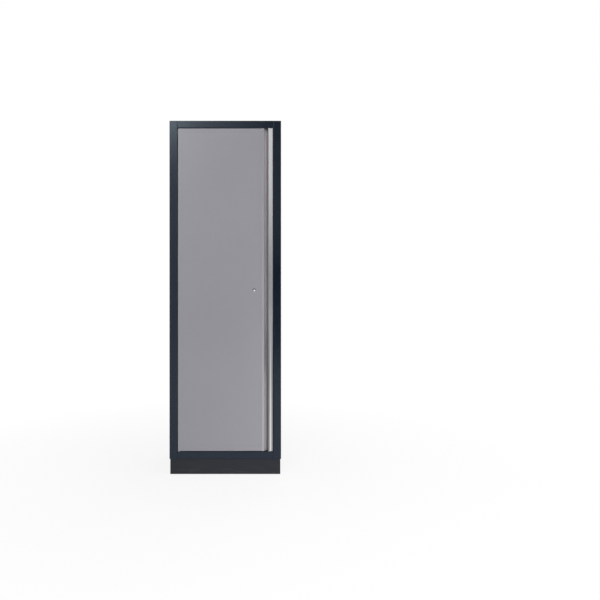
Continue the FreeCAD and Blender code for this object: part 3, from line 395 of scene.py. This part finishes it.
def phosphated_steel():
    """Phosphated and oiled steel: brownish black, satin, with a fine crystalline grain."""
    steel = Finish("phosphated steel", Metallic=0.55)
    crystals = steel.cells(1300.0)
    oil = steel.noise(35.0, 4.0)
    tone = steel.mixed(steel.ranged(crystals, 0.0, 0.6), opaque(0.085, 0.072, 0.078),
                       opaque(0.17, 0.15, 0.155))
    tone = steel.mixed(steel.ranged(oil, 0.0, 0.5, 0.5, 0.75), tone, opaque(0.06, 0.05, 0.055))
    return steel.shade(Base_Color=tone, Roughness=steel.ranged(oil, 0.36, 0.52, 0.3, 0.7),
                       Normal=steel.bumped(crystals, 0.12, 0.00006))


dress(zinc, "pivot_pins", "lower_pivot_plate", "upper_pivot_plate")
dress(turned_brass(), "pivot_bushes")
dress(nylon, "pivot_washer")
dress(phosphated_steel(), "lower_hinge_plate", "upper_hinge_plate")

# ---------------------------------------------------------------- door skin and inner panel
# A pan of 1 mm steel and the flat sheet that closes it behind. Both have a satin silver-grey
# coat with fine aluminium flake, smoother than the carcass's coat.


def silver_coat(name, roughness, clear):
    """Metallic coat: aluminium flakes of slightly different shade and tilt under a clear
    layer with little orange peel, and a faint cloudiness from the spraying."""
    coat = Finish(name, Metallic=0.12, IOR=1.5, Coat_Weight=clear, Coat_Roughness=0.16,
                  Coat_IOR=1.5)
    flakes = coat.cells(1700.0)
    cloud = coat.noise(1.7, 3.0)
    tone = coat.mixed(coat.ranged(cloud, 0.0, 1.0, 0.3, 0.7), opaque(0.237, 0.232, 0.260),
                      opaque(0.253, 0.248, 0.276))
    tone = coat.mixed(coat.ranged(flakes, 0.0, 0.32, 0.72, 1.0), tone, opaque(0.46, 0.46, 0.49))
    shine = coat.ranged(coat.noise(5.0, 4.0), roughness - 0.03, roughness + 0.04, 0.3, 0.7)
    skin = coat.bumped(coat.noise(520.0, 2.0), 0.06, PEEL_DEPTH)
    return coat.shade(Base_Color=tone, Roughness=shine,
                      Normal=coat.bumped(flakes, 0.04, 0.00004, skin))


dress(silver_coat("door coat outside", 0.42, 0.15), "door_skin")
dress(silver_coat("door coat inside", 0.34, 0.5), "door_inner_panel")

# ---------------------------------------------------------------- grip profile
# One aluminium extrusion over the whole door height: a flat hollow nose, an undercut finger
# groove and a ramp up to the skin. Satin anodised, with the die's fine lines along it.
FREE_EDGE, NOSE_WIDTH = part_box("handle_profile")[1][0], 23 * MM


def anodised():
    """Anodised aluminium: faint die lines along Z, drawn by noise stretched along that axis,
    and a soft tone shift from line to line. The nose is bright. On its lower half its sides
    are painted darker, which leaves a painted highlight down its middle. The groove is painted
    darker than the nose, lighter on its steep wall and near black at its bottom under the nose:
    painted shade and painted light. Lower down, the steep wall is a darker matt grey, part metal."""
    metal = Finish("satin anodised aluminium", Metallic=1.0)
    x, _, z = metal.add("ShaderNodeSeparateXYZ", {0: metal.place}).outputs
    groove = metal.ranged(x, 1.0, 0.0, FREE_EDGE - NOSE_WIDTH, FREE_EDGE - NOSE_WIDTH + 2.5 * MM)
    steep = metal.ranged(x, 0.0, 1.0, FREE_EDGE - 50 * MM, FREE_EDGE - 36 * MM)
    # Near black towards the groove's bottom under the nose: painted shade.
    groove_bottom_painted_shade = metal.ranged(x, 0.0, 1.0, FREE_EDGE - 33 * MM, FREE_EDGE - 29 * MM)
    low = metal.ranged(z, 1.0, 0.0, 0.55, 0.85)
    lower_down = metal.ranged(z, 1.0, 0.0, 0.42, 0.66)
    dull = metal.math("MULTIPLY", metal.math("MULTIPLY", groove, steep), lower_down)
    # The nose's lower sides are painted darker, leaving a painted highlight down its middle.
    off_middle = metal.math("ABSOLUTE", metal.math("SUBTRACT", x, FREE_EDGE - NOSE_WIDTH / 2))
    nose_sides_painted_darker = metal.math("MULTIPLY", metal.ranged(off_middle, 0.0, 1.0, 2 * MM, 5 * MM), low)
    lines = metal.noise(1.0, 4.0, metal.stretched(1500.0, 1500.0, 3.0), 0.6)
    bands = metal.noise(1.0, 2.0, metal.stretched(240.0, 240.0, 0.6))
    tone = metal.mixed(bands, opaque(0.80, 0.81, 0.82), opaque(0.91, 0.92, 0.92))
    tone = metal.mixed(nose_sides_painted_darker, tone, opaque(0.37, 0.37, 0.37))
    # The groove's tones, lighter on the steep wall: painted shade and painted light.
    ramp = metal.mixed(steep, opaque(0.53, 0.52, 0.55), opaque(0.72, 0.70, 0.74))
    ramp = metal.mixed(dull, ramp, opaque(0.43, 0.40, 0.42))
    tone = metal.mixed(groove, tone, metal.mixed(groove_bottom_painted_shade, ramp, opaque(0.18, 0.155, 0.165)))
    shine = metal.math("ADD", metal.ranged(lines, 0.25, 0.37, 0.3, 0.7),
                       metal.ranged(groove, 0.0, 0.18))
    etched = metal.bumped(metal.noise(2600.0, 1.0), 0.04, 0.00005)
    return metal.shade(Base_Color=tone, Metallic=metal.ranged(dull, 1.0, 0.3), Roughness=shine,
                       Normal=metal.bumped(lines, 0.07, 0.00008, etched))


dress(anodised(), "handle_profile")

# ---------------------------------------------------------------- lock
# A cylinder lock: nickel-plated barrel with a flange on the door's face, a turning plug with
# a warded key slot, and behind them a zinc pinion in a black moulded case.


def satin_nickel(name, dark, light, roughness, middle, black_behind):
    """Brushed and nickel-plated zinc casting with hairline rubs. It is painted lighter below its
    middle and darker above it: painted light and painted shade. Farther back than black_behind,
    in the key slot and the gap round the plug, it is painted black as painted shade."""
    plate = Finish(name, Metallic=1.0)
    rubs = plate.noise(1.0, 3.0, plate.stretched(900.0, 900.0, 150.0), 0.7)
    _, depth, height = plate.add("ShaderNodeSeparateXYZ", {0: plate.place}).outputs
    # Painted light below the axis and painted shade above it.
    lower_half_painted_light = plate.ranged(height, 1.0, 0.0, middle - 4 * MM, middle + 3 * MM)
    tone = plate.mixed(lower_half_painted_light, dark, light)
    tone = plate.mixed(plate.ranged(rubs, 0.0, 0.2, 0.4, 0.8), tone, light)
    # Painted shade in the key slot and the gap round the plug.
    recess_painted_shade = plate.ranged(depth, 0.0, 1.0, black_behind - 0.3 * MM, black_behind)
    return plate.shade(Base_Color=plate.mixed(recess_painted_shade, tone, opaque(0.015, 0.014, 0.013)),
                       Roughness=plate.ranged(rubs, roughness - 0.04, roughness + 0.06, 0.4, 0.8),
                       Normal=plate.bumped(rubs, 0.05, 0.00003))


def moulded_black():
    """Black glass-filled plastic with a fine spark-eroded grain."""
    black = Finish("moulded black plastic", IOR=1.5, Specular_IOR_Level=0.4)
    grain = black.noise(1400.0, 3.0)
    tone = black.mixed(black.noise(25.0), opaque(0.014, 0.014, 0.015), opaque(0.028, 0.028, 0.030))
    return black.shade(Base_Color=tone, Roughness=black.ranged(grain, 0.42, 0.6, 0.3, 0.7),
                       Normal=black.bumped(grain, 0.25, 0.00012))


BORE, BARREL_RADIUS, FLANGE_RADIUS, FLANGE_HEIGHT = 6.05 * MM, 8 * MM, 10 * MM, 1.5 * MM
DISH, FLANGE_INNER, PLUG_RADIUS, CHAMFER = 1.3 * MM, 6.7 * MM, 6 * MM, 0.4 * MM
# How far behind the door's face the barrel and the key slot reach
LOCK_DEPTH = 5 * MM
BARREL_SIDES, PLUG_SIDES = 72, 96
low, high = box_corners("lock_barrel")
axis = (low + high) / 2
door_face = low[1] + FLANGE_HEIGHT
barrel = rounded([(BORE, -LOCK_DEPTH, 0), (BARREL_RADIUS, -LOCK_DEPTH, 0.3 * MM),
                  (BARREL_RADIUS, 0, 0), (FLANGE_RADIUS, 0, 0),
                  (FLANGE_RADIUS, 0.2 * MM, 0.1 * MM),
                  (FLANGE_INNER, FLANGE_HEIGHT, 0.2 * MM),
                  (BORE + 0.2 * MM, FLANGE_HEIGHT, 0.1 * MM),
                  (BORE, FLANGE_HEIGHT - CHAMFER, 0), (BORE, -LOCK_DEPTH, 0)])
points = facing(turned_points(barrel, BARREL_SIDES), "-Y") + (axis[0], door_face, axis[2])
flange = mesh_piece("lock_flange", points, grid_faces(len(barrel), BARREL_SIDES))
barrel_nickel = satin_nickel("lock barrel nickel", opaque(0.10, 0.10, 0.11),
                             opaque(0.33, 0.33, 0.35), 0.24, axis[2], door_face)
dress_piece(flange, barrel_nickel, "door", "lock_chrome", "lock_barrel")


def plug_points(radius, back, front, around):
    """The plug: every ring is the key slot's outline grown towards the plug's circle. share
    is 0 on the slot and 1 on the circle. The face is a dish: it falls away from its rim by
    one less the squared distance from the axis. The slot lies a little above the axis, and
    its sides step in and out like a key's wards."""
    angle = np.linspace(0, 2 * math.pi, around, endpoint=False)
    circle = np.stack([np.cos(angle), np.sin(angle)], -1) * radius
    tall, half, lift = 3.6 * MM, 0.9 * MM, 1.0 * MM
    up = np.clip(np.sin(angle) * 1.25, -1, 1) * tall
    ward = 0.45 * MM * np.tanh(np.sin(up / tall * 2 * math.pi) * 3)
    side = np.tanh(np.cos(angle) * 9) * half * np.sqrt(np.clip(1 - (up / tall) ** 8, 0, 1))
    slot = np.stack([side + ward * np.sqrt(np.clip(1 - (up / tall) ** 4, 0, 1)), up + lift], -1)
    rim = 0.93
    share = np.array([0.0, 0.0, 0.1, 0.25, 0.45, 0.65, 0.8, rim, 1.0, 1.0])
    rings = slot + (circle - slot) * share[:, None, None]
    from_axis = np.linalg.norm(rings, axis=-1)
    out = front - DISH * np.clip(1 - (from_axis / (rim * radius)) ** 2, 0, None)
    out[0], out[-2], out[-1] = -LOCK_DEPTH, front - CHAMFER, back
    slot_bottom = np.stack([0 * up, up + lift], -1)[None]
    seen_flat = np.concatenate([slot_bottom, rings, np.zeros((1, around, 2))])
    return np.concatenate([seen_flat, np.concatenate([out[:1], out, out[-1:]])[..., None]], -1)


low, high = box_corners("lock_plug")
rings = plug_points(PLUG_RADIUS, door_face - high[1], door_face - low[1], PLUG_SIDES)
points = facing(rings.reshape(-1, 3), "-Y") + (axis[0], door_face, axis[2])
plug = mesh_piece("keyed_plug", points, grid_faces(len(rings), PLUG_SIDES))
plug_nickel = satin_nickel("lock plug nickel", opaque(0.32, 0.32, 0.33),
                           opaque(0.80, 0.80, 0.82), 0.2, axis[2], door_face + DISH)
dress_piece(plug, plug_nickel, "lock", "lock_chrome", "lock_plug")
dress(zinc, "lock_pinion")
dress(moulded_black(), "lock_case")

# ---------------------------------------------------------------- rods and guides
# Two zinc-plated rods with milled racks that the pinion drives apart, each in two nylon
# guides between the door's skin and its inner panel.
dress(zinc, "upper_rod", "lower_rod")
dress(nylon, "upper_rod_guides", "lower_rod_guides")

# ---------------------------------------------------------------- screws
# Zinc-plated hexagon heads with a chamfered top and a dimple from the cold heading. Four
# hold the lock case, four the hinge plates.
HEAD_CORNER, HEAD_HEIGHT, HEAD_SIDES = 3.5 * MM, 2 * MM, 48


def hexagon_points(around):
    """Rings of a hexagon head: share times the hexagon's outline, which is the apothem over
    the cosine of the angle from the nearest flat. The first corner is at angle 0. The top
    falls away by the tangent of 30 degrees outside the flats' circle, and dips by a little
    in the middle."""
    angle = np.linspace(0, 2 * math.pi, around, endpoint=False)
    apothem = HEAD_CORNER * math.cos(math.pi / 6)
    outline = apothem / np.cos(angle % (math.pi / 3) - math.pi / 6)
    share = np.array([0.0, 0.30, 0.45, 0.60, 0.80, 0.92, 1.0, 1.0, 0.0])
    radius = share[:, None] * outline
    chamfer = np.clip(radius - apothem * 0.92, 0, None) * math.tan(math.pi / 6)
    dimple = 0.35 * MM * np.clip(1 - share / 0.45, 0, 1)[:, None] ** 0.5
    height = HEAD_HEIGHT - chamfer - dimple
    height[-2:] = 0.0
    return np.stack([radius * np.cos(angle), radius * np.sin(angle), height], -1)


def head_places(node):
    """Where each of a CAD node's heads sits: its middle, on the face that it is screwed to.
    Points less than about a head's width apart, seen along the screw, are of one head."""
    mesh = nodes[node].data
    corners = np.empty(len(mesh.vertices) * 3)
    mesh.vertices.foreach_get("co", corners)
    others = corners.reshape(-1, 3)
    width = 2.2 * HEAD_CORNER
    places = []
    while len(others):
        apart = np.linalg.norm((others - others[0])[:, [0, 2]], axis=1)
        one, others = others[apart < width], others[apart >= width]
        low, high = one.min(axis=0), one.max(axis=0)
        places.append(((low[0] + high[0]) / 2, low[1], (low[2] + high[2]) / 2))
    return places


head = hexagon_points(HEAD_SIDES)
head_points = facing(head.reshape(-1, 3), "+Y")
head_quads = grid_faces(len(head), HEAD_SIDES)
for node, name in (("lock_case_screws", "case_screw_heads"),
                   ("hinge_plate_screws", "plate_screw_heads")):
    heads = repeated(name, head_points, head_quads, head_places(node))
    dress_piece(heads, zinc, "door", "zinc_steel", node)

# ---------------------------------------------------------------- floor, light and camera
# A pale studio floor with a grey sheet under the locker as painted shade, a white surround and
# four soft lamps.
# Dark and grey flags round the locker show only in reflections, for the flat paint to mirror.


def flat_sheet(name, corners, material):
    """One rectangle through four corners."""
    mesh = bpy.data.meshes.new(name)
    mesh.from_pydata(corners, [], [(0, 1, 2, 3)])
    mesh.materials.append(material)
    sheet = bpy.data.objects.new(name, mesh)
    bpy.context.scene.collection.objects.link(sheet)
    return sheet


def seen_rays(tree):
    """1 for what the lens, a gloss or a glass looks at, and 0 for the light on the object."""
    path = tree.nodes.new("ShaderNodeLightPath")
    seen = path.outputs["Is Camera Ray"]
    for ray in ("Is Glossy Ray", "Is Transmission Ray"):
        either = tree.nodes.new("ShaderNodeMath")
        either.operation = "MAXIMUM"
        tree.links.new(seen, either.inputs[0])
        tree.links.new(path.outputs[ray], either.inputs[1])
        seen = either.outputs[0]
    return seen


def studio_floor():
    """Matt white floor paint. What a lens or a mirror sees of it is lifted towards white, and
    wholly so two metres out from the locker's middle. The light that it throws back isn't."""
    paint = Finish("studio floor", Specular_IOR_Level=0.1, Roughness=0.9)
    paint.shade(Base_Color=paint.mixed(paint.noise(3.0), opaque(0.90, 0.90, 0.90),
                                       opaque(0.93, 0.93, 0.93)))
    far = paint.add("ShaderNodeVectorMath", {0: paint.place}, operation="LENGTH").outputs["Value"]
    lift = paint.ranged(far, 0.86, 1.0, 0.6, 2.0)
    share = paint.math("MULTIPLY", lift, seen_rays(paint.tree))
    white = paint.add("ShaderNodeEmission", {"Color": opaque(1, 1, 1)}).outputs[0]
    blend = paint.add("ShaderNodeMixShader", {0: share, 1: paint.shader.outputs[0], 2: white})
    end = paint.tree.nodes["Material Output"]
    paint.tree.links.new(blend.outputs[0], end.inputs["Surface"])
    return paint.material


def flag_cloth(name, shade):
    """Studio cloth that only shows in reflections."""
    cloth = Finish(name, Specular_IOR_Level=0.05, Roughness=1.0)
    return cloth.shade(Base_Color=cloth.mixed(cloth.noise(30.0), opaque(shade, shade, shade),
                                              opaque(shade * 1.1, shade * 1.1, shade * 1.1)))


def flag(name, corners, cloth):
    sheet = flat_sheet(name, corners, cloth)
    sheet.visible_camera = sheet.visible_diffuse = sheet.visible_shadow = False


FLOOR_HALF = 30
flat_sheet("studio_floor", [(-FLOOR_HALF, -FLOOR_HALF, 0), (FLOOR_HALF, -FLOOR_HALF, 0),
                            (FLOOR_HALF, FLOOR_HALF, 0), (-FLOOR_HALF, FLOOR_HALF, 0)],
           studio_floor())
dark_cloth, grey_cloth = flag_cloth("dark flag", 0.02), flag_cloth("grey flag", 0.12)
SHEET_X, SHEET_Y, SHEET_Z = 0.29, 0.22, 0.0005
# A grey sheet under the locker, where the floor is hidden: painted shade.
flat_sheet("painted_shade_under_locker", [(-SHEET_X, -SHEET_Y, SHEET_Z), (SHEET_X, -SHEET_Y, SHEET_Z),
                                  (SHEET_X, SHEET_Y, SHEET_Z), (-SHEET_X, SHEET_Y, SHEET_Z)],
           grey_cloth)

# Where the flags stand: behind the camera, behind the locker, to its sides and over it. The two
# behind the camera meet at MEET, and the tall one's left edge leans to the left as it rises.
FRONT, REAR, SIDE, CEILING, MEET, TOP = -5.5, 5.0, 3.4, 5.2, 1.85, 4.8
WALL_LOW, WALL_HIGH, WALL_FRONT = 0.02, 4.6, -1.8
flag("low_flag", [(-0.5, FRONT, 0.1), (SIDE, FRONT, 0.1), (SIDE, FRONT, MEET),
                  (-0.5, FRONT, MEET)], dark_cloth)
flag("tall_flag", [(0.88, FRONT, MEET), (SIDE, FRONT, MEET), (SIDE, FRONT, TOP),
                   (0.23, FRONT, TOP)], dark_cloth)
flag("ceiling_flag", [(-SIDE, FRONT, CEILING), (SIDE, FRONT, CEILING), (SIDE, REAR, CEILING),
                      (-SIDE, REAR, CEILING)], dark_cloth)
flag("back_flag", [(-SIDE, REAR, WALL_LOW), (SIDE, REAR, WALL_LOW), (SIDE, REAR, WALL_HIGH),
                   (-SIDE, REAR, WALL_HIGH)], grey_cloth)
for name, x in (("left_flag", -SIDE), ("right_flag", SIDE)):
    flag(name, [(x, WALL_FRONT, WALL_LOW), (x, REAR, WALL_LOW), (x, REAR, WALL_HIGH),
                (x, WALL_FRONT, WALL_HIGH)], grey_cloth)


def soft_lamp(name, place, aim, width, height, power, glossy=True):
    """An area lamp at place that looks at aim. Where glossy is false, no gloss mirrors it."""
    lamp = bpy.data.lights.new(name, "AREA")
    lamp.shape, lamp.size, lamp.size_y, lamp.energy = "RECTANGLE", width, height, power
    holder = bpy.data.objects.new(name, lamp)
    bpy.context.scene.collection.objects.link(holder)
    holder.location = place
    holder.visible_camera, holder.visible_glossy = False, glossy
    holder.rotation_euler = (Vector(aim) - Vector(place)).to_track_quat("-Z", "Y").to_euler()


MIDDLE = (0, 0, 0.95)
soft_lamp("left_lamp", (-1.4, -4.7, 4.2), MIDDLE, 2.0, 2.0, 72.0)
soft_lamp("low_lamp", (1.5, -2.3, 0.25), (0, 0, 0.15), 1.2, 0.4, 34.0, glossy=False)
soft_lamp("side_lamp", (3.2, -1.1, 1.7), (-0.2, -0.3, 0.95), 1.4, 1.4, 26.0, glossy=False)
soft_lamp("rear_lamp", (1.5, 3.6, 3.0), MIDDLE, 2.2, 2.2, 45.0)

# The surround is seen at SURROUND and lights the object at FILL
SURROUND, FILL = 1.0, 0.45
world = bpy.data.worlds.new("studio")
bpy.context.scene.world = world
world.use_nodes = True
sky = world.node_tree.nodes["Background"]
sky.inputs["Color"].default_value = (1, 1, 1, 1)
level = world.node_tree.nodes.new("ShaderNodeMapRange")
level.inputs["To Min"].default_value = FILL
level.inputs["To Max"].default_value = SURROUND
world.node_tree.links.new(seen_rays(world.node_tree), level.inputs["Value"])
world.node_tree.links.new(level.outputs[0], sky.inputs["Strength"])

camera = bpy.data.cameras.new("camera")
camera.lens = 33.5
camera.sensor_width = 36.0
camera.shift_x = 0.12452
eye = bpy.data.objects.new("camera", camera)
bpy.context.scene.collection.objects.link(eye)
eye.location = (0.0, -3.23, 0.937)
eye.rotation_euler = (math.radians(90), 0, 0)
bpy.context.scene.camera = eye
bpy.context.scene.view_settings.view_transform = "Standard"
